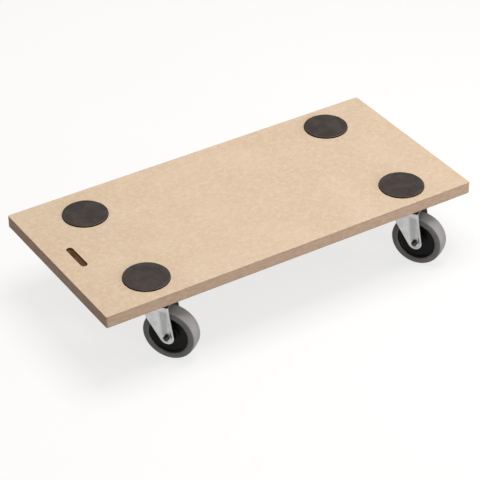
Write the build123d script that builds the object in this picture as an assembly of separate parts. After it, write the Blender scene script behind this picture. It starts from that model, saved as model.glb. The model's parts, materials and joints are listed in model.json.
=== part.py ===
from build123d import *

import math
import os

# Furniture dolly: an MDF deck with four anti-slip pads, carried by four swivel casters.
#
# Millimetres, +Z up. The origin is on the floor under the middle of the deck, with +X along the
# deck's long side and -Y at its front. Every caster is built once in its own frame, whose origin is
# on the deck's underside at the swivel axis, with +X along the trail towards the wheel's axle and
# the axle along Y. Heights in that frame are negative, because the caster hangs below the deck.

# Deck
DECK_LENGTH = 590.0
DECK_WIDTH = 280.0
DECK_THICKNESS = 18.0
DECK_UNDERSIDE = 100.0
DECK_CORNER_R = 2.5
DECK_EDGE_R = 0.8

# Strap slot through the deck at its left end
SLOT_X = -262.0
SLOT_WIDTH = 10.0
SLOT_LENGTH = 50.0

# Anti-slip pads, glued into round recesses that are cut by hand near the casters' axes
PAD_R = 32.2
PAD_THICKNESS = 5.0
PAD_PROUD = 2.5
PAD_BEVEL = 0.6
RECESS_R = 32.7
RECESS_DEPTH = PAD_THICKNESS - PAD_PROUD
PADS = {
    "front_left": (-206.9, -91.5),
    "front_right": (207.6, -95.0),
    "rear_left": (-203.2, 83.6),
    "rear_right": (206.5, 93.4),
}

# Caster, measured from the deck's underside and from the swivel axis
WHEEL_R = 38.5
AXLE_DROP = DECK_UNDERSIDE - WHEEL_R
AXLE_TRAIL = 34.0

# Each caster's swivel axis, and the way it trails at rest as a turn about +Z from the deck's +X
AXIS_X = 206.5
AXIS_Y = 91.3
LEFT_TRAIL = 54.3
RIGHT_TRAIL = 59.0
CASTERS = {
    "front_left": (-AXIS_X, -AXIS_Y, -LEFT_TRAIL),
    "front_right": (AXIS_X, -AXIS_Y, -RIGHT_TRAIL),
    "rear_left": (-AXIS_X, AXIS_Y, LEFT_TRAIL),
    "rear_right": (AXIS_X, AXIS_Y, RIGHT_TRAIL),
}

# Top plate: a square flange with a round dish pressed down from it
SHEET = 2.0
PLATE_SIDE = 60.0
PLATE_CORNER_R = 7.0
DISH_DEPTH = 4.0
DISH_TOP_R = 25.5
DISH_FLOOR_R = 22.5
PLATE_HOLE_PITCH = 45.0
PLATE_HOLE_R = 2.75

# Swivel bearing: one ring of balls above the fork's crown and one below it
UPPER_BALL_R = 3.0
UPPER_PITCH_R = 18.0
UPPER_BALLS = 16
UPPER_BALL_Z = -8.4
LOWER_BALL_R = 2.38
LOWER_PITCH_R = 10.5
LOWER_BALLS = 12
LOWER_BALL_Z = -14.7
BALL_CLEARANCE = 0.1

# Kingpin rivet and the cup that it holds up
KINGPIN_END_R = 4.0
KINGPIN_BODY_R = 5.2
KINGPIN_HEAD_R = 7.0
KINGPIN_CROWN_R = 4.2
KINGPIN_TOP_HEAD = 1.5
KINGPIN_LOW_HEAD = 2.6
CUP_TOP_Z = -16.6
CUP_R = 14.0
CUP_LIP_WALL = 1.0
CUP_LIP_TOP_Z = -15.2

# Fork
CROWN_TOP_Z = -10.8
CROWN_R = 22.5
CROWN_EDGE_R = 1.0
CROWN_HOLE_R = 7.0
FORK_HALF_WIDTH = 16.6
FORK_BEND_R = 4.0
FORK_FOOT_R = 10.5
FORK_HEEL_X = -12.0
FORK_TOE_X = 36.3
EMBOSS_DEPTH = 0.8
EMBOSS_SLOPE = 2.4
EMBOSS_FOOT_R = 8.2
EMBOSS_TOP_R = 3.0
EMBOSS_TOP_Z = -23.0
EMBOSS_TOP_X = (24.5, 32.4)
LEG_EDGE_R = 0.4

# Axle: an M5 bolt and lock nut through a steel sleeve
BOLT_R = 2.5
BOLT_HOLE_R = 2.6
HEX_FLATS = 8.0
BOLT_HEAD = 3.5
NUT_HEX = 3.4
NUT_COLLAR = 1.3
NUT_COLLAR_R = 3.6
NUT_COLLAR_BEVEL = 0.7
NUT_BORE_R = BOLT_R + 0.02
BOLT_PAST_NUT = 0.8
BOLT_END_BEVEL = 0.5
SLEEVE_R = 4.0
SEAT_Y = FORK_HALF_WIDTH - EMBOSS_DEPTH
SLEEVE_HALF = SEAT_Y - SHEET

# Wheel
TYRE_HALF_WIDTH = 12.5
TYRE_SHOULDER_R = 1.9
TREAD_EDGE_R = WHEEL_R - 0.6
TYRE_BEAD_R = 30.0
TYRE_BEAD_Y = 12.0
TYRE_SEAT_R = 31.0
TYRE_SEAT_HALF = 7.4
HUB_FACE_R = 28.5
HUB_FACE_Y = 9.7
HUB_HALF = SLEEVE_HALF - 0.4
HUB_BORE_R = SLEEVE_R + 0.05
HUB_BOSS_R = 9.5
HUB_BOSS_BEVEL = 0.6
HUB_BOSS_DRAFT = 0.8
HUB_DISH_R = 11.9
HUB_DISH_Y = 6.2
HUB_RIM_R = 25.0
HUB_RIM_Y = 8.0
HUB_LIP = 1.2

# Pan-head wood screws that hold a plate to the deck
SCREW_R = 2.0
SCREW_PILOT_R = 2.05
SCREW_HEAD_R = 4.2
SCREW_CROWN_R = 2.6
SCREW_HEAD = 2.4
SCREW_LENGTH = 14.0
SCREW_TIP = 4.0
DRIVE_WIDTH = 1.1
DRIVE_SPAN = 4.2
DRIVE_DEPTH = 1.3

# How far the edge of a screw's or rivet's head is rounded off
HEAD_ROUNDING = 0.7

# How far a cutting tool runs past the face that it cuts
BACK = 1.0


def turned(points):
    """A solid of revolution about Z, from its half section as (radius, height) points."""
    outline = Polyline(*[(radius, 0, height) for radius, height in points], close=True)
    return revolve(make_face(outline), axis=Axis.Z)


def ring(inner, outer, low, high):
    """A plain tube about Z."""
    return turned([(inner, low), (outer, low), (outer, high), (inner, high)])


def disc(radius, low, high):
    """A plain cylinder about Z."""
    return Pos(0, 0, low) * extrude(Circle(radius), high - low)


def groove(pitch_r, height, ball_r):
    """The torus that a ring of balls sweeps, with its running clearance."""
    return Pos(0, 0, height) * Torus(pitch_r, ball_r + BALL_CLEARANCE)


def on_axle(solid):
    """Turns a solid made about Z so that it lies along the caster's axle."""
    return Pos(AXLE_TRAIL, 0, -AXLE_DROP) * Rot(-90, 0, 0) * solid


def plate_corners():
    """The centres of a top plate's four screw holes, in the caster's frame."""
    half = PLATE_HOLE_PITCH / 2
    return [Pos(x, y, 0) for x in (-half, half) for y in (-half, half)]


def deck_board():
    """The MDF platform with its slot, pad recesses and screw pilot holes."""
    sheet = RectangleRounded(DECK_LENGTH, DECK_WIDTH, DECK_CORNER_R)
    board = Pos(0, 0, DECK_UNDERSIDE) * extrude(sheet, DECK_THICKNESS)
    rims = board.faces().sort_by(Axis.Z)
    board = fillet(rims[0].edges() + rims[-1].edges(), DECK_EDGE_R)
    slot = SlotOverall(SLOT_LENGTH, SLOT_WIDTH, rotation=90)
    board -= Pos(SLOT_X, 0, DECK_UNDERSIDE - BACK) * extrude(slot, DECK_THICKNESS + 2 * BACK)
    for x, y in PADS.values():
        recess = disc(RECESS_R, DECK_THICKNESS - RECESS_DEPTH, DECK_THICKNESS + BACK)
        board -= Pos(x, y, DECK_UNDERSIDE) * recess
    for x, y, _ in CASTERS.values():
        for hole in plate_corners():
            pilot = hole * disc(SCREW_PILOT_R, -BACK, SCREW_LENGTH - SHEET)
            board -= Pos(x, y, DECK_UNDERSIDE) * pilot
    return board


def anti_slip_pad():
    """A round rubber pad with a bevelled top edge, sitting on its recess's floor."""
    pad = disc(PAD_R, 0, PAD_THICKNESS)
    pad = chamfer(pad.edges().sort_by(Axis.Z)[-1], PAD_BEVEL)
    return Pos(0, 0, DECK_UNDERSIDE + DECK_THICKNESS - RECESS_DEPTH) * pad


def top_plate():
    """The caster's fixing plate: a flange, its dished centre and the upper race in it."""
    flange = Pos(0, 0, -SHEET) * extrude(
        RectangleRounded(PLATE_SIDE, PLATE_SIDE, PLATE_CORNER_R), SHEET
    )
    dish = turned(
        [
            (0, -DISH_DEPTH),
            (DISH_FLOOR_R, -DISH_DEPTH),
            (DISH_TOP_R, 0),
            (DISH_TOP_R + SHEET, 0),
            (DISH_TOP_R + SHEET, -SHEET),
            (DISH_TOP_R, -SHEET),
            (DISH_FLOOR_R, -DISH_DEPTH - SHEET),
            (0, -DISH_DEPTH - SHEET),
        ]
    )
    plate = flange - disc(DISH_TOP_R + SHEET / 2, -SHEET - BACK, BACK) + dish
    plate -= groove(UPPER_PITCH_R, UPPER_BALL_Z, UPPER_BALL_R)
    plate -= disc(KINGPIN_END_R, -DISH_DEPTH - SHEET - BACK, BACK)
    for hole in plate_corners():
        plate -= hole * disc(PLATE_HOLE_R, -SHEET - BACK, BACK)
    return plate


def plate_screws():
    """Four pan-head wood screws, driven up through the plate into the deck."""
    under_head = -SHEET
    tip = under_head + SCREW_LENGTH
    screw = turned(
        [
            (0, under_head - SCREW_HEAD),
            (SCREW_CROWN_R, under_head - SCREW_HEAD),
            (SCREW_HEAD_R - HEAD_ROUNDING, under_head - SCREW_HEAD + HEAD_ROUNDING),
            (SCREW_HEAD_R, under_head - SCREW_HEAD + 2 * HEAD_ROUNDING),
            (SCREW_HEAD_R, under_head),
            (SCREW_R, under_head),
            (SCREW_R, tip - SCREW_TIP),
            (0, tip),
        ]
    )
    for turn in (0, 90):
        slot = Box(DRIVE_SPAN, DRIVE_WIDTH, DRIVE_DEPTH * 2)
        screw -= Pos(0, 0, under_head - SCREW_HEAD) * Rot(0, 0, turn) * slot
    return Compound([hole * screw.solid() for hole in plate_corners()])


def kingpin():
    """The shouldered rivet on the swivel axis, headed over in the dish and under the cup."""
    dish_floor = -DISH_DEPTH
    cup_bottom = CUP_TOP_Z - SHEET
    return turned(
        [
            (0, dish_floor + KINGPIN_TOP_HEAD),
            (KINGPIN_HEAD_R - 2 * HEAD_ROUNDING, dish_floor + KINGPIN_TOP_HEAD),
            (KINGPIN_HEAD_R, dish_floor + KINGPIN_TOP_HEAD - HEAD_ROUNDING),
            (KINGPIN_HEAD_R, dish_floor),
            (KINGPIN_END_R, dish_floor),
            (KINGPIN_END_R, dish_floor - SHEET),
            (KINGPIN_BODY_R, dish_floor - SHEET),
            (KINGPIN_BODY_R, CUP_TOP_Z),
            (KINGPIN_END_R, CUP_TOP_Z),
            (KINGPIN_END_R, cup_bottom),
            (KINGPIN_HEAD_R, cup_bottom),
            (KINGPIN_HEAD_R, cup_bottom - KINGPIN_LOW_HEAD + 2 * HEAD_ROUNDING),
            (KINGPIN_CROWN_R, cup_bottom - KINGPIN_LOW_HEAD),
            (0, cup_bottom - KINGPIN_LOW_HEAD),
        ]
    )


def race_cup():
    """The pressed cup that carries the lower ring of balls."""
    bottom = CUP_TOP_Z - SHEET
    lip_inner = CUP_R - CUP_LIP_WALL
    cup = turned(
        [
            (KINGPIN_END_R, bottom),
            (CUP_R - SHEET, bottom),
            (CUP_R, bottom + SHEET),
            (CUP_R, CUP_LIP_TOP_Z),
            (lip_inner, CUP_LIP_TOP_Z),
            (lip_inner, CUP_TOP_Z),
            (KINGPIN_END_R, CUP_TOP_Z),
        ]
    )
    return cup - groove(LOWER_PITCH_R, LOWER_BALL_Z, LOWER_BALL_R)


def swivel_balls():
    """Both rings of loose balls of one swivel bearing."""
    balls = []
    rings = (
        (UPPER_BALLS, UPPER_PITCH_R, UPPER_BALL_Z, UPPER_BALL_R),
        (LOWER_BALLS, LOWER_PITCH_R, LOWER_BALL_Z, LOWER_BALL_R),
    )
    for count, pitch_r, height, ball_r in rings:
        for step in range(count):
            turn = Rot(0, 0, 360 * step / count)
            balls.append(turn * Pos(pitch_r, 0, height) * Sphere(ball_r).solid())
    return Compound(balls)


def channel(half_width, top, bend_r):
    """A block as wide as the fork, with its two top edges along X rounded."""
    low = -AXLE_DROP - 2 * FORK_FOOT_R
    length = 2 * (AXLE_TRAIL + FORK_FOOT_R) + 2 * BACK
    block = Pos(0, 0, low) * extrude(Rectangle(length, 2 * half_width), top - low)
    rounded = block.edges().filter_by(Axis.X).sort_by(Axis.Z)[-2:]
    return fillet(rounded, bend_r)


def panel_outline(inset):
    """The pressed panel's outline on a leg: round about the axle and narrower at its top."""
    rounds = [Pos(AXLE_TRAIL, -AXLE_DROP) * Circle(EMBOSS_FOOT_R - inset)]
    rounds += [Pos(x, EMBOSS_TOP_Z) * Circle(EMBOSS_TOP_R - inset) for x in EMBOSS_TOP_X]
    return make_hull([edge for shape in rounds for edge in shape.edges()])


def pressed_panels(face_y):
    """The shallow panels pressed inwards into both legs, from faces at +face_y and -face_y."""
    floor = Pos(0, 0, EMBOSS_DEPTH) * panel_outline(EMBOSS_SLOPE)
    panel = Plane.XZ.offset(-face_y) * loft([panel_outline(0), floor])
    return panel + mirror(panel, Plane.XZ)


def fork():
    """The pressed steel fork: a round crown with both races, and two legs with pressed panels."""
    foot = Pos(AXLE_TRAIL, -AXLE_DROP) * Circle(FORK_FOOT_R)
    top = Line((FORK_HEEL_X, CROWN_TOP_Z + BACK), (FORK_TOE_X, CROWN_TOP_Z + BACK))
    side = Plane.XZ * extrude(make_hull(foot.edges() + [top]), 2 * FORK_HALF_WIDTH, both=True)
    outside = channel(FORK_HALF_WIDTH, CROWN_TOP_Z, FORK_BEND_R)
    inside = channel(FORK_HALF_WIDTH - SHEET, CROWN_TOP_Z - SHEET, FORK_BEND_R - SHEET)
    legs = (outside & side) - inside
    outer_faces = legs.faces().filter_by(Axis.Y).sort_by(Axis.Y)
    legs = fillet(outer_faces[0].edges() + outer_faces[-1].edges(), LEG_EDGE_R)
    crown = disc(CROWN_R, CROWN_TOP_Z - SHEET, CROWN_TOP_Z)
    crown = fillet(crown.edges().sort_by(Axis.Z)[-1], CROWN_EDGE_R)
    body = legs + crown
    body -= pressed_panels(FORK_HALF_WIDTH)
    body += pressed_panels(FORK_HALF_WIDTH - SHEET)
    body -= disc(CROWN_HOLE_R, CROWN_TOP_Z - SHEET - BACK, CROWN_TOP_Z + BACK)
    body -= groove(UPPER_PITCH_R, UPPER_BALL_Z, UPPER_BALL_R)
    body -= groove(LOWER_PITCH_R, LOWER_BALL_Z, LOWER_BALL_R)
    return body - on_axle(disc(BOLT_HOLE_R, -FORK_HALF_WIDTH - BACK, FORK_HALF_WIDTH + BACK))


def hexagon(low, high):
    """A hexagonal prism about Z with the corners of both its ends taken off."""
    flats_r = HEX_FLATS / 2
    corner_r = flats_r / math.cos(math.radians(30))
    prism = Pos(0, 0, low) * extrude(RegularPolygon(corner_r, 6), high - low)
    bevel = (corner_r - flats_r) * math.tan(math.radians(30))
    blank = turned(
        [
            (0, low),
            (flats_r, low),
            (corner_r, low + bevel),
            (corner_r, high - bevel),
            (flats_r, high),
            (0, high),
        ]
    )
    return prism & blank


def axle_bolt():
    """The M5 bolt, headed on the inner leg and plain along its whole shank."""
    end = -SEAT_Y - NUT_HEX - NUT_COLLAR - BOLT_PAST_NUT
    shank = turned(
        [
            (0, end),
            (BOLT_R - BOLT_END_BEVEL, end),
            (BOLT_R, end + BOLT_END_BEVEL),
            (BOLT_R, SEAT_Y),
            (0, SEAT_Y),
        ]
    )
    return on_axle(shank + hexagon(SEAT_Y, SEAT_Y + BOLT_HEAD))


def axle_nut():
    """The lock nut on the outer leg: a hexagon with a round collar."""
    face = -SEAT_Y
    back = face - NUT_HEX
    collar = turned(
        [
            (0, back),
            (NUT_COLLAR_R, back),
            (NUT_COLLAR_R, back - NUT_COLLAR + NUT_COLLAR_BEVEL),
            (NUT_COLLAR_R - NUT_COLLAR_BEVEL, back - NUT_COLLAR),
            (0, back - NUT_COLLAR),
        ]
    )
    bore = disc(NUT_BORE_R, back - NUT_COLLAR - BACK, face + BACK)
    return on_axle(hexagon(back, face) + collar - bore)


def axle_sleeve():
    """The steel sleeve clamped between the legs, on which the wheel turns."""
    return on_axle(ring(BOLT_HOLE_R, SLEEVE_R, -SLEEVE_HALF, SLEEVE_HALF))


def wheel_core():
    """The moulded wheel body: a hub, a dished web and a rim under the tyre."""
    half = [
        (HUB_BORE_R, HUB_HALF),
        (HUB_BOSS_R - HUB_BOSS_BEVEL, HUB_HALF),
        (HUB_BOSS_R, HUB_HALF - HUB_BOSS_BEVEL),
        (HUB_BOSS_R + HUB_BOSS_DRAFT, HUB_DISH_Y + HUB_BOSS_DRAFT),
        (HUB_DISH_R, HUB_DISH_Y),
        (HUB_RIM_R, HUB_RIM_Y),
        (HUB_FACE_R - HUB_LIP, HUB_FACE_Y),
        (HUB_FACE_R, HUB_FACE_Y),
        (HUB_FACE_R, TYRE_SEAT_HALF),
        (TYRE_SEAT_R, TYRE_SEAT_HALF),
    ]
    return on_axle(turned(half + [(radius, -height) for radius, height in reversed(half)]))


def tyre():
    """The moulded tyre: flat sides, round shoulders and a slightly crowned tread."""
    side_in = (TYRE_BEAD_R, 0, TYRE_BEAD_Y)
    side_out = (TREAD_EDGE_R - TYRE_SHOULDER_R, 0, TYRE_HALF_WIDTH)
    tread_edge = (TREAD_EDGE_R, 0, TYRE_HALF_WIDTH - TYRE_SHOULDER_R)
    seat = [
        (TYRE_SEAT_R, 0, TYRE_SEAT_HALF),
        (HUB_FACE_R, 0, TYRE_SEAT_HALF),
        (HUB_FACE_R, 0, HUB_FACE_Y),
        side_in,
        side_out,
    ]

    def low(point):
        return (point[0], 0, -point[2])

    shoulder = TangentArc(side_out, tread_edge, tangent=(1, 0, 0))
    tread = ThreePointArc(tread_edge, (WHEEL_R, 0, 0), low(tread_edge))
    under = TangentArc(low(side_out), low(tread_edge), tangent=(1, 0, 0))
    upper_side = Polyline(*seat)
    lower_side = Polyline(*[low(point) for point in seat])
    bed = Line(seat[0], low(seat[0]))
    section = make_face([upper_side, shoulder, tread, under, lower_side, bed])
    return on_axle(revolve(section, axis=Axis.Z))


def place(name, solid, turns):
    """Puts a caster's piece at its corner, turned with the swivel or square to the deck."""
    x, y, trail = CASTERS[name]
    return Pos(x, y, DECK_UNDERSIDE) * Rot(0, 0, trail if turns else 0) * solid


os.makedirs("parts", exist_ok=True)

FIXED = {
    "top_plate": top_plate(),
    "plate_screws": plate_screws(),
    "kingpin": kingpin(),
    "race_cup": race_cup(),
}
SWIVELLING = {
    "swivel_balls": swivel_balls(),
    "fork": fork(),
    "axle_bolt": axle_bolt(),
    "axle_nut": axle_nut(),
    "axle_sleeve": axle_sleeve(),
    "wheel_core": wheel_core(),
    "tyre": tyre(),
}

export_step(deck_board(), "parts/deck_board.step")
for corner, (x, y) in PADS.items():
    export_step(Pos(x, y, 0) * anti_slip_pad(), f"parts/anti_slip_pad_{corner}.step")
for caster in CASTERS:
    for pieces, turns in ((FIXED, False), (SWIVELLING, True)):
        for piece, solid in pieces.items():
            export_step(place(caster, solid, turns), f"parts/{piece}_{caster}.step")
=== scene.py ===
import json
import math

import bmesh
import bpy
from mathutils import Matrix, Vector


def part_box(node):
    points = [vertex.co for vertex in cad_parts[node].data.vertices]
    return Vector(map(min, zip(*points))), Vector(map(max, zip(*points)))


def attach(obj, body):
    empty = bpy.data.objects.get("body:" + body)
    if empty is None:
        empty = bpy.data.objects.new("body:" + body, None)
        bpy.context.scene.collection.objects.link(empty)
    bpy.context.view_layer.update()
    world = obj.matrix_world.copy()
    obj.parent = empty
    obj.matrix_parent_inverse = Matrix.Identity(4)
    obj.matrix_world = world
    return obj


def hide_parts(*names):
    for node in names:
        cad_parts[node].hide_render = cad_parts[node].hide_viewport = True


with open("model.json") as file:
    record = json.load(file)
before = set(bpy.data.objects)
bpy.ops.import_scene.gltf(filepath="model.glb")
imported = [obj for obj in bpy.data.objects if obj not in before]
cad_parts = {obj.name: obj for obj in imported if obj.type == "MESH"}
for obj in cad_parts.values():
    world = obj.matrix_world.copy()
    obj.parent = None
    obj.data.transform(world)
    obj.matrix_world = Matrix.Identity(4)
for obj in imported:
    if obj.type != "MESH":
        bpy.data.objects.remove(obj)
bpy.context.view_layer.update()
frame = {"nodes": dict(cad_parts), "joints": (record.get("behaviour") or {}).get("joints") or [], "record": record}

# Looks of the furniture dolly: an MDF deck with four rubber pads, on four swivel casters.
# Metres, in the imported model's frame. A caster also has a frame of its own, in which its fork is
# painted: the origin is on the swivel axis at the deck's underside, +X points towards the axle,
# the axle lies along Y and Z is up.

BOARD_LOW, BOARD_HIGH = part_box("deck_board")
MM = 0.001
UP = Vector((0, 0, 1))

# Camera, as azimuth, elevation and roll in degrees, aimed at a point on the deck's top
CAMERA_AZIMUTH = -32.05
CAMERA_ELEVATION = 34.82
CAMERA_ROLL = -0.42
CAMERA_DISTANCE = 2.7727
CAMERA_TARGET = Vector((-0.0559, -0.0850, 0.1180))
CAMERA_LENS = 152.83
CAMERA_NEAR = 0.05
CAMERA_FAR = 200

# Studio. The sky brightens from SKY_BELOW to SKY_ABOVE within SKY_FADE of the horizon, where
# straight up is 1
FLOOR_HALF = 60.0
FLOOR_COLOR = 0.25
FLOOR_ROUGHNESS = 0.9
FLOOR_SPECULAR = 0.2
FLOOR_GLOW = 0.73
SKY_COLOR = (1.0, 0.92, 0.85)
SKY_ABOVE = 0.42
SKY_BELOW = 0.14
SKY_FADE = 0.3

# Lamps: where they are and how wide and tall, in metres, and their power in watts
LIGHTS = {
    "top": {"at": (0.22, 0.00, 1.75), "size": (1.0, 1.0), "power": 20.2},
    "right": {"at": (2.10, -1.40, 0.40), "size": (1.2, 0.6), "power": 20},
    "front": {"at": (0.30, -2.60, 0.55), "size": (1.6, 0.8), "power": 24},
}
LIGHT_AIM = Vector((0, 0, 0.1))

# Tyre, in millimetres from the axle and from the wheel's middle plane
TYRE_R = 38.5
TYRE_HALF = 12.5
TYRE_TREAD_R = 37.8
BEAD_R = 28.5
BEAD_ROUND = 1.8
SEAT_R = 31.0
SEAT_HALF = 7.4
SHOULDER_R = 2.0
SHOULDER_Y = 11.0
LINE_WIDTH = 0.5
LINE_STEP = 0.08
MOULD_LINE = 0.10

# Tyre's arcs, as start and end in degrees and a count of steps, and the steps of its other parts
BEAD_ARC = (180, 100, 6)
SHOULDER_ARC = (76, 8, 8)
SIDE_STEPS = 8
CROWN_STEPS = 8
TREAD_FADE_STEPS = 3
ROUND_STEPS = 128

# Painted shade in the pressed panel on a fork's leg: its top and low ends below the deck, its heel and toe
# edges from the swivel axis, the distances inside each of them over which the shade changes, where a
# negative one is outside, and the part of the shade that is left past its toe and its low end
PANEL_TOP = 17.5 * MM
PANEL_LOW = 61.5 * MM
PANEL_HEEL_TOP = 21.5 * MM
PANEL_HEEL_LOW = 25.8 * MM
PANEL_TOE = 35.4 * MM
TOP_FADE = 6 * MM
LOW_FADE = 4 * MM
HEEL_FADE = (-1.8 * MM, 4.2 * MM)
TOE_FADE = (-1.0 * MM, 2.5 * MM)
PAST_TOE = 0.35
PAST_LOW = 0.4

# How far below the deck the fork's crown bends into its legs, and the height above that bend over
# which the crown's painted shade sets in
CROWN_BEND = 13.6 * MM
CROWN_FADE = 1.6 * MM

# A cut of the deck within OUTLINE_NEAR of its outline is sawn, and one farther in than OUTLINE_FAR
# is routed. A routed wall darkens upwards towards the deck's top, between the two depths below, with
# router scorch and painted shade
OUTLINE_NEAR = 3 * MM
OUTLINE_FAR = 5 * MM
SCORCH_SHADE_START = 5 * MM
SCORCH_SHADE_FULL = 3 * MM

# How far below a pad's top its bevel's brown reaches, and where the plain black of its wall, painted
# shade, begins
PAD_BEVEL_DEPTH = 0.5 * MM
PAD_WALL_DEPTH = 1.0 * MM

# The part of 0..1 in which most of a noise's values lie
NOISE_SPAN = (0.3, 0.7)

# Colours, as linear red, green and blue
SANDED_DARK = (0.622, 0.482, 0.343)
SANDED_LIGHT = (0.665, 0.523, 0.380)
SANDED_BLOTCH = (0.722, 0.584, 0.438)
FIBRE_DARK = (0.500, 0.345, 0.215)
FIBRE_LIGHT = (0.830, 0.690, 0.530)
FIBRE_SPECK = (0.340, 0.215, 0.125)
CUT_DARK = (0.482, 0.336, 0.236)
CUT_LIGHT = (0.578, 0.421, 0.306)
CUT_CRUMB = (0.330, 0.222, 0.150)
CUT_SKIN = (0.400, 0.280, 0.195)
SCORCH_DARK = (0.440, 0.235, 0.100)
SCORCH_LIGHT = (0.560, 0.320, 0.150)
# A routed wall's colour near the deck's top: router scorch with painted shade
SCORCH_SHADE_TOP = (0.095, 0.045, 0.018)
PAD_DARK = (0.035, 0.029, 0.027)
PAD_LIGHT = (0.061, 0.050, 0.046)
PAD_SMUDGE = (0.076, 0.062, 0.055)
PAD_PIT = (0.030, 0.025, 0.024)
# Painted shade on a pad's side wall
PAD_WALL_SHADE = (0.005, 0.0035, 0.0028)
BEVEL_DARK = (0.078, 0.052, 0.032)
BEVEL_LIGHT = (0.118, 0.084, 0.058)
# The zinc of the parts under the deck, painted darker than the fork's zinc as painted shade
SHADED_ZINC_BRIGHT = (0.44, 0.44, 0.44)
SHADED_ZINC_DULL = (0.34, 0.34, 0.335)
ZINC_PIT = (0.22, 0.21, 0.20)
FORK_BRIGHT = (0.62, 0.625, 0.63)
FORK_DULL = (0.535, 0.54, 0.54)
# Painted shade in the legs' pressed panels
PANEL_SHADE_DARK = (0.355, 0.360, 0.355)
PANEL_SHADE_LIGHT = (0.405, 0.410, 0.405)
# Painted shade on the fork's crown under the deck
CROWN_SHADE_DARK = (0.060, 0.054, 0.048)
CROWN_SHADE_LIGHT = (0.120, 0.112, 0.102)
BEARING_CLEAN = (0.60, 0.60, 0.61)
BEARING_FILM = (0.30, 0.26, 0.21)
OXIDE_DARK = (0.026, 0.025, 0.026)
OXIDE_LIGHT = (0.060, 0.058, 0.057)
OXIDE_RUBBED = (0.14, 0.135, 0.13)
PLASTIC_DARK = (0.0040, 0.0036, 0.0038)
PLASTIC_LIGHT = (0.0075, 0.0070, 0.0072)
PLASTIC_DUST = (0.030, 0.028, 0.028)
SIDE_DARK = (0.124, 0.120, 0.122)
SIDE_LIGHT = (0.156, 0.150, 0.152)
TREAD_DARK = (0.270, 0.262, 0.262)
TREAD_LIGHT = (0.322, 0.313, 0.313)
TYRE_GRIME = (0.070, 0.064, 0.060)

# The casters, as the names of their nodes, joints and bodies have them
CORNERS = ("front_left", "front_right", "rear_left", "rear_right")

# Each node's material slot, and the joints by name, as the frame has them
SLOT_OF = {part["node"]: part["material_slot"] for part in frame["record"]["subparts"]}
JOINTS = {joint["name"]: joint for joint in frame["joints"]}


# ---------------------------------------------------------------- camera, floor and lights


def set_camera():
    """A camera at a fixed angle, with a small roll about its own line of sight."""
    azimuth = math.radians(CAMERA_AZIMUTH)
    elevation = math.radians(CAMERA_ELEVATION)
    roll = math.radians(CAMERA_ROLL)
    flat = math.cos(elevation)
    back = Vector((math.sin(azimuth) * flat, -math.cos(azimuth) * flat, math.sin(elevation)))
    right = Vector((math.cos(azimuth), math.sin(azimuth), 0))
    up = back.cross(right)
    turned_right = right * math.cos(roll) + up * math.sin(roll)
    turned_up = up * math.cos(roll) - right * math.sin(roll)
    data = bpy.data.cameras.new("camera")
    data.lens = CAMERA_LENS
    data.clip_start = CAMERA_NEAR
    data.clip_end = CAMERA_FAR
    camera = bpy.data.objects.new("camera", data)
    bpy.context.scene.collection.objects.link(camera)
    rotation = Matrix((turned_right, turned_up, back)).transposed().to_4x4()
    camera.matrix_world = Matrix.Translation(CAMERA_TARGET + back * CAMERA_DISTANCE) @ rotation
    bpy.context.scene.camera = camera
    # Plain colours, without Blender's film-like default
    bpy.context.scene.view_settings.view_transform = "Standard"


def add_floor():
    """A plain pale floor that glows a little, so that shadows on it stay soft and light.

    Diffuse rays don't meet it, so it shows in reflections and doesn't light the object otherwise.
    """
    mesh = bpy.data.meshes.new("floor")
    h = FLOOR_HALF
    mesh.from_pydata([(-h, -h, 0), (h, -h, 0), (h, h, 0), (-h, h, 0)], [], [(0, 1, 2, 3)])
    floor = bpy.data.objects.new("floor", mesh)
    bpy.context.scene.collection.objects.link(floor)
    paint = bpy.data.materials.new("floor_paint")
    paint.use_nodes = True
    shader = paint.node_tree.nodes["Principled BSDF"]
    shader.inputs["Base Color"].default_value = (FLOOR_COLOR, FLOOR_COLOR, FLOOR_COLOR, 1)
    shader.inputs["Roughness"].default_value = FLOOR_ROUGHNESS
    shader.inputs["Specular IOR Level"].default_value = FLOOR_SPECULAR
    shader.inputs["Emission Color"].default_value = (1, 1, 1, 1)
    shader.inputs["Emission Strength"].default_value = FLOOR_GLOW
    mesh.materials.append(paint)
    floor.visible_diffuse = False


def add_lights():
    """A soft light overhead, and two low ones from the right and from the front."""
    for name, spec in LIGHTS.items():
        data = bpy.data.lights.new(name, "AREA")
        data.shape = "RECTANGLE"
        data.size, data.size_y = spec["size"]
        data.energy = spec["power"]
        lamp = bpy.data.objects.new(name, data)
        lamp.visible_camera = False
        bpy.context.scene.collection.objects.link(lamp)
        at = Vector(spec["at"])
        aim = (LIGHT_AIM - at).to_track_quat("-Z", "Y").to_matrix().to_4x4()
        lamp.matrix_world = Matrix.Translation(at) @ aim


def add_sky():
    """A warm sky that is brighter above the horizon than below it."""
    world = bpy.data.worlds.new("world")
    world.use_nodes = True
    tree = world.node_tree
    sky = tree.nodes["Background"]
    sky.inputs["Color"].default_value = (*SKY_COLOR, 1)
    direction = tree.nodes.new("ShaderNodeTexCoord").outputs["Generated"]
    parts = tree.nodes.new("ShaderNodeSeparateXYZ")
    tree.links.new(direction, parts.inputs[0])
    fade = tree.nodes.new("ShaderNodeMapRange")
    fade.inputs["From Min"].default_value = -SKY_FADE
    fade.inputs["From Max"].default_value = SKY_FADE
    fade.inputs["To Min"].default_value = SKY_BELOW
    fade.inputs["To Max"].default_value = SKY_ABOVE
    tree.links.new(parts.outputs["Z"], fade.inputs["Value"])
    tree.links.new(fade.outputs["Result"], sky.inputs["Strength"])
    bpy.context.scene.world = world


# ---------------------------------------------------------------- places on a caster


def axle_place(corner):
    """The middle of a wheel's axle."""
    return Vector(JOINTS[f"wheel_{corner}_roll"]["pos_m"])


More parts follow.
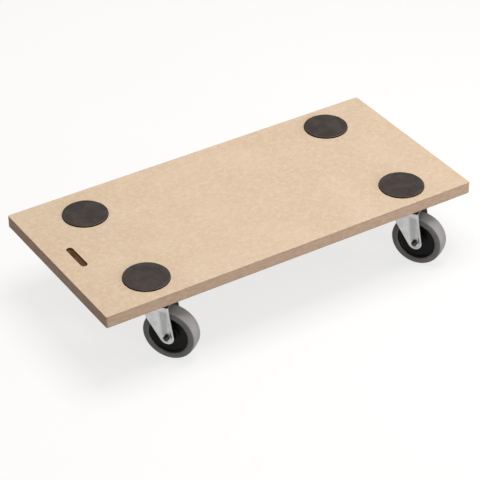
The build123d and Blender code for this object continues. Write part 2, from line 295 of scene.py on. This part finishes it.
def caster_frame(corner):
    """The matrix that takes a caster's own frame into the model's frame."""
    swivel = Vector(JOINTS[f"swivel_{corner}_turn"]["pos_m"])
    axle = axle_place(corner)
    trail = Vector((axle.x - swivel.x, axle.y - swivel.y, 0)).normalized()
    turn = Matrix((trail, UP.cross(trail), UP)).transposed().to_4x4()
    return Matrix.Translation((swivel.x, swivel.y, BOARD_LOW.z)) @ turn


# ---------------------------------------------------------------- material building blocks


class Paint:
    """A material under construction, with short calls for the nodes used here."""

    # The mix node's sockets for colours, which share their names with its other sockets
    MIX_FIRST = 6
    MIX_SECOND = 7
    MIX_RESULT = 2

    def __init__(self, name):
        self.material = bpy.data.materials.new(name)
        self.material.use_nodes = True
        self.tree = self.material.node_tree
        self.shader = self.tree.nodes["Principled BSDF"]
        self.place = self.tree.nodes.new("ShaderNodeTexCoord").outputs["Object"]

    def link(self, value, socket):
        """Feeds a socket from a node's output, or sets it to a number or colour."""
        if isinstance(value, bpy.types.NodeSocket):
            self.tree.links.new(value, socket)
        elif isinstance(value, tuple) and socket.type == "RGBA":
            socket.default_value = (*value, 1)
        else:
            socket.default_value = value

    def set(self, **sockets):
        """Sets or feeds the shader's sockets, named with underscores for spaces."""
        for name, value in sockets.items():
            self.link(value, self.shader.inputs[name.replace("_", " ")])

    def noise(self, scale, detail, rough, stretch=(1, 1, 1)):
        """Fractal noise about 0.5. A stretch below 1 draws its grain out along that axis."""
        mapping = self.tree.nodes.new("ShaderNodeMapping")
        mapping.inputs["Scale"].default_value = stretch
        self.link(self.place, mapping.inputs["Vector"])
        node = self.tree.nodes.new("ShaderNodeTexNoise")
        node.inputs["Scale"].default_value = scale
        node.inputs["Detail"].default_value = detail
        node.inputs["Roughness"].default_value = rough
        self.link(mapping.outputs["Vector"], node.inputs["Vector"])
        return node.outputs["Fac"]

    def cells(self, scale):
        """Cell noise: the distance to the nearest of many scattered points."""
        node = self.tree.nodes.new("ShaderNodeTexVoronoi")
        node.inputs["Scale"].default_value = scale
        self.link(self.place, node.inputs["Vector"])
        return node.outputs["Distance"]

    def math(self, operation, first, second=0.0, third=None):
        """One arithmetic step."""
        node = self.tree.nodes.new("ShaderNodeMath")
        node.operation = operation
        self.link(first, node.inputs[0])
        self.link(second, node.inputs[1])
        if third is not None:
            self.link(third, node.inputs[2])
        return node.outputs[0]

    def times(self, first, second):
        """The product of two numbers."""
        return self.math("MULTIPLY", first, second)

    def range(self, value, low, high, to_low=0.0, to_high=1.0, smooth=True):
        """Maps low..high onto to_low..to_high, held at both ends."""
        node = self.tree.nodes.new("ShaderNodeMapRange")
        node.interpolation_type = "SMOOTHSTEP" if smooth else "LINEAR"
        self.link(value, node.inputs["Value"])
        for socket, number in (
            ("From Min", low),
            ("From Max", high),
            ("To Min", to_low),
            ("To Max", to_high),
        ):
            self.link(number, node.inputs[socket])
        return node.outputs["Result"]

    def spread(self, noise, to_low, to_high):
        """Maps a noise's usual span onto to_low..to_high."""
        return self.range(noise, *NOISE_SPAN, to_low, to_high)

    def mix(self, amount, first, second):
        """A blend from one colour to another."""
        node = self.tree.nodes.new("ShaderNodeMix")
        node.data_type = "RGBA"
        self.link(amount, node.inputs["Factor"])
        self.link(first, node.inputs[self.MIX_FIRST])
        self.link(second, node.inputs[self.MIX_SECOND])
        return node.outputs[self.MIX_RESULT]

    def tint(self, base, color, mask, low, high, amount=1.0):
        """A colour laid over another, up to an amount, as a mask goes from low to high."""
        return self.mix(self.range(mask, low, high, 0.0, amount), base, color)

    def split(self, vector):
        """A vector's three parts."""
        node = self.tree.nodes.new("ShaderNodeSeparateXYZ")
        self.link(vector, node.inputs[0])
        return node.outputs[0], node.outputs[1], node.outputs[2]

    def geometry(self, name):
        """What the surface's shape gives, such as its direction before any bump."""
        return self.tree.nodes.new("ShaderNodeNewGeometry").outputs[name]

    def attribute(self, name):
        """A number painted on the mesh's points."""
        node = self.tree.nodes.new("ShaderNodeAttribute")
        node.attribute_name = name
        return node.outputs["Fac"]

    def bump(self, height, distance, strength):
        """Bump of a height field, whose 0..1 is distance metres deep."""
        node = self.tree.nodes.new("ShaderNodeBump")
        node.inputs["Strength"].default_value = strength
        node.inputs["Distance"].default_value = distance
        self.link(height, node.inputs["Height"])
        return node.outputs["Normal"]


# ---------------------------------------------------------------- materials


def sanded_face(p, blotches, fibres, cross_fibres, specks):
    """Pale sanded fibre with a faint cloudiness, short hair-like fibres and dark specks."""
    color = p.tint(SANDED_DARK, SANDED_LIGHT, p.noise(14, 3, 0.5), *NOISE_SPAN)
    color = p.tint(color, SANDED_BLOTCH, blotches, 0.40, 0.68, 0.6)
    color = p.tint(color, FIBRE_DARK, fibres, 0.52, 0.68, 0.42)
    color = p.tint(color, FIBRE_LIGHT, cross_fibres, 0.52, 0.67, 0.46)
    return p.mix(p.times(specks, 0.34), color, FIBRE_SPECK)


def sawn_cut(p, height, layers, crumbs):
    """The same fibre in thin layers, denser and darker towards both faces."""
    from_middle = p.range(height, BOARD_LOW.z, BOARD_HIGH.z, -1.0, 1.0, smooth=False)
    skin = p.range(p.math("ABSOLUTE", from_middle), 0.45, 0.95)
    color = p.tint(CUT_DARK, CUT_LIGHT, layers, 0.39, 0.61)
    color = p.tint(color, CUT_CRUMB, crumbs, 0.50, 0.68, 0.5)
    return p.mix(p.times(skin, 0.30), color, CUT_SKIN)


def routed_cut(p, height, layers):
    """The walls of the slot and of the pads' recesses, scorched brown by the router, and darker near the deck's
    top with scorch and painted shade.
    """
    color = p.tint(SCORCH_DARK, SCORCH_LIGHT, layers, 0.4, 0.6)
    top = BOARD_HIGH.z
    # Scorch and painted shade: the walls darken towards the deck's top, all through the shallow recesses
    return p.tint(color, SCORCH_SHADE_TOP, height, top - SCORCH_SHADE_START, top - SCORCH_SHADE_FULL)


def inside_outline(p):
    """0 at the board's outer edges and 1 farther in, where every cut is routed."""
    along, across, _ = p.split(p.place)
    from_end = p.math("SUBTRACT", BOARD_HIGH.x, p.math("ABSOLUTE", along))
    from_side = p.math("SUBTRACT", BOARD_HIGH.y, p.math("ABSOLUTE", across))
    return p.range(p.math("MINIMUM", from_end, from_side), OUTLINE_NEAR, OUTLINE_FAR)


def mdf():
    """Raw fibreboard: fine felted fibres on its faces and a coarser, darker core at its cuts."""
    p = Paint("mdf")
    _, _, up = p.split(p.geometry("Normal"))
    _, _, height = p.split(p.place)
    face = p.range(p.math("ABSOLUTE", up), 0.80, 0.97)
    blotches = p.noise(120, 4, 0.65)
    fibres = p.noise(900, 3, 0.7, stretch=(1, 0.32, 1))
    cross_fibres = p.noise(700, 3, 0.7, stretch=(0.3, 1, 1))
    specks = p.range(p.cells(520), 0.05, 0.16, 1.0, 0.0)
    layers = p.noise(420, 4, 0.65, stretch=(0.22, 0.22, 1))
    crumbs = p.noise(1100, 3, 0.7)
    sanded = sanded_face(p, blotches, fibres, cross_fibres, specks)
    sawn = sawn_cut(p, height, layers, crumbs)
    cut = p.mix(inside_outline(p), sawn, routed_cut(p, height, layers))
    felt = p.math("ADD", p.times(fibres, 0.6), p.times(cross_fibres, 0.6))
    rough_cut = p.math("ADD", layers, p.times(crumbs, 1.4))
    relief = p.math("ADD", p.times(felt, 0.35), p.times(specks, -0.25))
    hollow = p.times(p.math("SUBTRACT", 1.0, face), rough_cut)
    p.set(
        Base_Color=p.mix(face, cut, sanded),
        Roughness=p.spread(blotches, 0.62, 0.78),
        Specular_IOR_Level=0.28,
        Normal=p.bump(p.math("ADD", relief, hollow), distance=0.10 * MM, strength=0.55),
    )
    return p.material


def pad_rubber():
    """Matt rubber with a fine pitted grain, a bevel scuffed brown and a wall below it painted black as painted
    shade.
    """
    p = Paint("pad_rubber")
    _, _, up = p.split(p.geometry("Normal"))
    _, _, height = p.split(p.place)
    face = p.range(up, 0.86, 0.985)
    grain = p.cells(820)
    fine = p.noise(2200, 2, 0.6)
    worn = p.noise(60, 4, 0.62)
    smudge = p.noise(150, 3, 0.6)
    base = p.tint(PAD_DARK, PAD_LIGHT, worn, 0.34, 0.68)
    base = p.tint(base, PAD_SMUDGE, smudge, 0.5, 0.75, 0.45)
    base = p.mix(p.range(grain, 0.10, 0.42, 0.5, 0.0), base, PAD_PIT)
    bevel = p.tint(BEVEL_DARK, BEVEL_LIGHT, worn, *NOISE_SPAN)
    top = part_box("anti_slip_pad_front_left")[1].z
    # Painted shade: the pad's wall below the bevel is painted near black
    edge = p.tint(PAD_WALL_SHADE, bevel, height, top - PAD_WALL_DEPTH, top - PAD_BEVEL_DEPTH)
    relief = p.math("ADD", grain, p.times(fine, 0.4))
    p.set(
        Base_Color=p.mix(face, edge, base),
        Roughness=p.spread(worn, 0.60, 0.76),
        Specular_IOR_Level=0.26,
        Normal=p.bump(relief, distance=0.14 * MM, strength=0.6),
    )
    return p.material


def plate(p, bright, dull, rough):
    """Gives a paint the gloss and rolled grain of zinc-plated sheet, and returns its colour."""
    clouds = p.noise(95, 4, 0.6)
    spangle = p.cells(260)
    rolled = p.noise(1300, 2, 0.6, stretch=(1, 1, 0.06))
    pits = p.range(p.cells(900), 0.03, 0.12, 1.0, 0.0)
    relief = p.math("ADD", p.times(rolled, 0.5), p.times(pits, -0.5))
    p.set(
        Metallic=1.0,
        Roughness=p.spread(clouds, rough + 0.07, rough - 0.05),
        Normal=p.bump(relief, distance=0.03 * MM, strength=0.5),
    )
    color = p.tint(dull, bright, clouds, 0.34, 0.68)
    color = p.mix(p.range(spangle, 0.1, 0.6, 0.22, 0.0), color, dull)
    return p.mix(p.times(pits, 0.35), color, ZINC_PIT)


def zinc_steel():
    """Pressed sheet with zinc plate: rolled grain, faint clouds and duller pits, all painted darker than the
    fork's zinc as painted shade under the deck.
    """
    p = Paint("zinc_steel")
    p.set(Base_Color=plate(p, SHADED_ZINC_BRIGHT, SHADED_ZINC_DULL, rough=0.38))
    return p.material


def panel_mask(p, along, up):
    """How much painted shade of its pressed panel a leg has at a place in the caster's own frame.

    It is 1 inside the panel, 0 past its heel and top, and in between past its toe and low end.
    """
    drop = p.range(up, -PANEL_LOW, -PANEL_TOP, 1.0, 0.0, smooth=False)
    heel = p.math("MULTIPLY_ADD", drop, PANEL_HEEL_LOW - PANEL_HEEL_TOP, PANEL_HEEL_TOP)
    past_heel = p.range(p.math("SUBTRACT", along, heel), *HEEL_FADE)
    before_toe = p.range(p.math("SUBTRACT", PANEL_TOE, along), *TOE_FADE, PAST_TOE, 1.0)
    below_top = p.range(up, -PANEL_TOP, -PANEL_TOP - TOP_FADE)
    above_low = p.range(up, -PANEL_LOW, -PANEL_LOW + LOW_FADE, PAST_LOW, 1.0)
    return p.times(p.times(p.times(past_heel, before_toe), below_top), above_low)


def fork_steel(corner):
    """The fork's bright zinc, with painted shade in the legs' pressed panels and about its crown."""
    p = Paint(f"fork_steel_{corner}")
    plain = plate(p, FORK_BRIGHT, FORK_DULL, rough=0.36)
    local = caster_frame(corner).inverted()
    mapping = p.tree.nodes.new("ShaderNodeMapping")
    mapping.inputs["Location"].default_value = local.to_translation()
    mapping.inputs["Rotation"].default_value = local.to_euler()
    p.link(p.place, mapping.inputs["Vector"])
    along, _, up = p.split(mapping.outputs["Vector"])
    # Painted shade: the zinc is darker inside the legs' pressed panels
    panel_shade = p.mix(p.noise(160, 3, 0.6), PANEL_SHADE_DARK, PANEL_SHADE_LIGHT)
    crown_shade = p.mix(p.noise(300, 4, 0.65), CROWN_SHADE_DARK, CROWN_SHADE_LIGHT)
    legs = p.mix(panel_mask(p, along, up), plain, panel_shade)
    # Painted shade: the crown above its bend is painted dark, as it lies in shade under the deck
    p.set(Base_Color=p.tint(legs, crown_shade, up, -CROWN_BEND, -CROWN_BEND + CROWN_FADE))
    return p.material


def bearing_steel():
    """Hardened steel under a thin film of grease that has darkened in patches."""
    p = Paint("bearing_steel")
    film = p.noise(420, 4, 0.65)
    scratches = p.noise(2600, 2, 0.5, stretch=(1, 1, 0.15))
    p.set(
        Base_Color=p.tint(BEARING_CLEAN, BEARING_FILM, film, 0.42, 0.66),
        Metallic=1.0,
        Roughness=p.spread(film, 0.16, 0.38),
        Normal=p.bump(scratches, distance=0.01 * MM, strength=0.4),
    )
    return p.material


def dark_steel():
    """Black-oxide hexagon steel, rubbed brighter along the edges that a spanner meets."""
    p = Paint("dark_steel")
    blotches = p.noise(380, 4, 0.6)
    turned = p.noise(2400, 2, 0.5)
    color = p.tint(OXIDE_DARK, OXIDE_LIGHT, blotches, 0.36, 0.66)
    p.set(
        Base_Color=p.tint(color, OXIDE_RUBBED, p.geometry("Pointiness"), 0.52, 0.60, 0.4),
        Metallic=0.85,
        Roughness=p.spread(blotches, 0.34, 0.50),
        Normal=p.bump(turned, distance=0.012 * MM, strength=0.5),
    )
    return p.material


def black_plastic():
    """Moulded polypropylene: near black, satin, with a spark-eroded texture and faint flow."""
    p = Paint("black_plastic")
    texture = p.noise(1500, 3, 0.6)
    flow = p.noise(70, 3, 0.6)
    dust = p.noise(240, 4, 0.7)
    color = p.tint(PLASTIC_DARK, PLASTIC_LIGHT, flow, 0.35, 0.65)
    p.set(
        Base_Color=p.tint(color, PLASTIC_DUST, dust, 0.56, 0.78, 0.22),
        Roughness=p.spread(flow, 0.36, 0.48),
        Specular_IOR_Level=0.12,
        Normal=p.bump(texture, distance=0.025 * MM, strength=0.5),
    )
    return p.material


def grey_tyre():
    """Non-marking grey rubber: satin moulded sides and a paler, ground tread."""
    p = Paint("grey_tyre")
    cloud = p.noise(55, 3, 0.6)
    fine = p.noise(1800, 3, 0.65)
    grime = p.noise(180, 4, 0.7)
    tread = p.attribute("tread")
    side = p.tint(SIDE_DARK, SIDE_LIGHT, cloud, 0.34, 0.66)
    run = p.tint(TREAD_DARK, TREAD_LIGHT, cloud, 0.34, 0.66)
    p.set(
        Base_Color=p.tint(p.mix(tread, side, run), TYRE_GRIME, grime, 0.54, 0.80, 0.35),
        Roughness=p.range(tread, 0.0, 1.0, 0.50, 0.64),
        Specular_IOR_Level=0.40,
        Normal=p.bump(fine, distance=0.03 * MM, strength=0.5),
    )
    return p.material


MATERIALS = {
    "mdf": mdf(),
    "pad_rubber": pad_rubber(),
    "zinc_steel": zinc_steel(),
    "bearing_steel": bearing_steel(),
    "dark_steel": dark_steel(),
    "black_plastic": black_plastic(),
    "grey_tyre": grey_tyre(),
}


# ---------------------------------------------------------------- pieces


def dress_cad_nodes():
    """Gives every carried-over CAD node its material."""
    for node, piece in frame["nodes"].items():
        piece.data.materials.clear()
        piece.data.materials.append(MATERIALS[SLOT_OF[node]])
    for corner in CORNERS:
        fork = frame["nodes"][f"fork_{corner}"]
        fork.data.materials[0] = fork_steel(corner)


def lathe(name, section, place):
    """A closed ring swept about the Y axis and then put in place, with smooth shading.

    The section is a list of (radius, y, tread) points, where tread is the value of the mesh's
    attribute of that name.
    """
    points, faces, values = [], [], []
    count = len(section)
    for step in range(ROUND_STEPS):
        angle = 2 * math.pi * step / ROUND_STEPS
        after = (step + 1) % ROUND_STEPS
        for index, (radius, y, tread) in enumerate(section):
            beside = (index + 1) % count
            points.append(place @ Vector((radius * math.sin(angle), y, radius * math.cos(angle))))
            values.append(tread)
            faces.append(
                (
                    step * count + index,
                    step * count + beside,
                    after * count + beside,
                    after * count + index,
                )
            )
    mesh = bpy.data.meshes.new(name)
    mesh.from_pydata(points, [], faces)
    attribute = mesh.attributes.new("tread", "FLOAT", "POINT")
    attribute.data.foreach_set("value", values)
    mesh.update()
    work = bmesh.new()
    work.from_mesh(mesh)
    bmesh.ops.recalc_face_normals(work, faces=work.faces)
    work.to_mesh(mesh)
    work.free()
    mesh.shade_smooth()
    piece = bpy.data.objects.new(name, mesh)
    bpy.context.scene.collection.objects.link(piece)
    return piece


def arc(center, radius, start, end, steps):
    """Points on an arc, as (radius, y), from one angle to another in degrees from +radius."""
    angles = [math.radians(start + (end - start) * i / steps) for i in range(steps + 1)]
    return [
        (center[0] + radius * math.cos(a), center[1] + radius * math.sin(a)) for a in angles
    ]


def side_points(bead_end, line_top):
    """The full side, from the end of the bead to the fine step below the shoulder."""
    points = []
    for step in range(1, SIDE_STEPS + 1):
        t = step / SIDE_STEPS
        radius = bead_end[0] + (line_top[0] - bead_end[0]) * t
        sag = (bead_end[1] - line_top[1]) * t * t
        points.append((radius, bead_end[1] - sag, 0))
    return points


def crown_points(edge):
    """The slightly crowned tread, from the shoulder's edge to the mould line."""
    points = []
    top = TYRE_R - MOULD_LINE
    for step in range(1, CROWN_STEPS + 1):
        y = edge[1] * (1 - step / (CROWN_STEPS + 1))
        crown = (top - edge[0]) * (1 - (y / edge[1]) ** 2)
        points.append((edge[0] + crown, y, 1))
    points.append((top, 2 * MOULD_LINE, 1))
    return points


def tyre_section():
    """The tyre's outline as (radius, y, tread) points: seat, bead, side, shoulder and crown."""
    bead = arc((BEAD_R + BEAD_ROUND, TYRE_HALF - BEAD_ROUND), BEAD_ROUND, *BEAD_ARC)
    shoulder = arc((TYRE_TREAD_R - SHOULDER_R, SHOULDER_Y - SHOULDER_R), SHOULDER_R, *SHOULDER_ARC)
    foot = shoulder[0]
    line_top = (foot[0] - LINE_WIDTH, foot[1] + LINE_STEP)
    half = [(SEAT_R, SEAT_HALF, 0), (BEAD_R, SEAT_HALF, 0)]
    half += [(radius, y, 0) for radius, y in bead]
    half += side_points(bead[-1], line_top)
    half.append((foot[0] - LINE_WIDTH / 2, line_top[1] - 2 * LINE_STEP, 0))
    half += [(radius, y, min(1, i / TREAD_FADE_STEPS)) for i, (radius, y) in enumerate(shoulder)]
    half += crown_points(shoulder[-1])
    return half + [(TYRE_R, 0, 1)] + [(radius, -y, tread) for radius, y, tread in reversed(half)]


def add_tyre(corner):
    """The tyre, in place of its plain CAD solid."""
    turn = caster_frame(corner).to_3x3().to_4x4()
    section = [(radius * MM, y * MM, tread) for radius, y, tread in tyre_section()]
    piece = lathe(f"moulded_tyre_{corner}", section, Matrix.Translation(axle_place(corner)) @ turn)
    piece.data.materials.append(MATERIALS["grey_tyre"])
    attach(piece, f"wheel_{corner}")
    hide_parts(f"tyre_{corner}")


set_camera()
add_floor()
add_lights()
add_sky()
dress_cad_nodes()
for corner in CORNERS:
    add_tyre(corner)
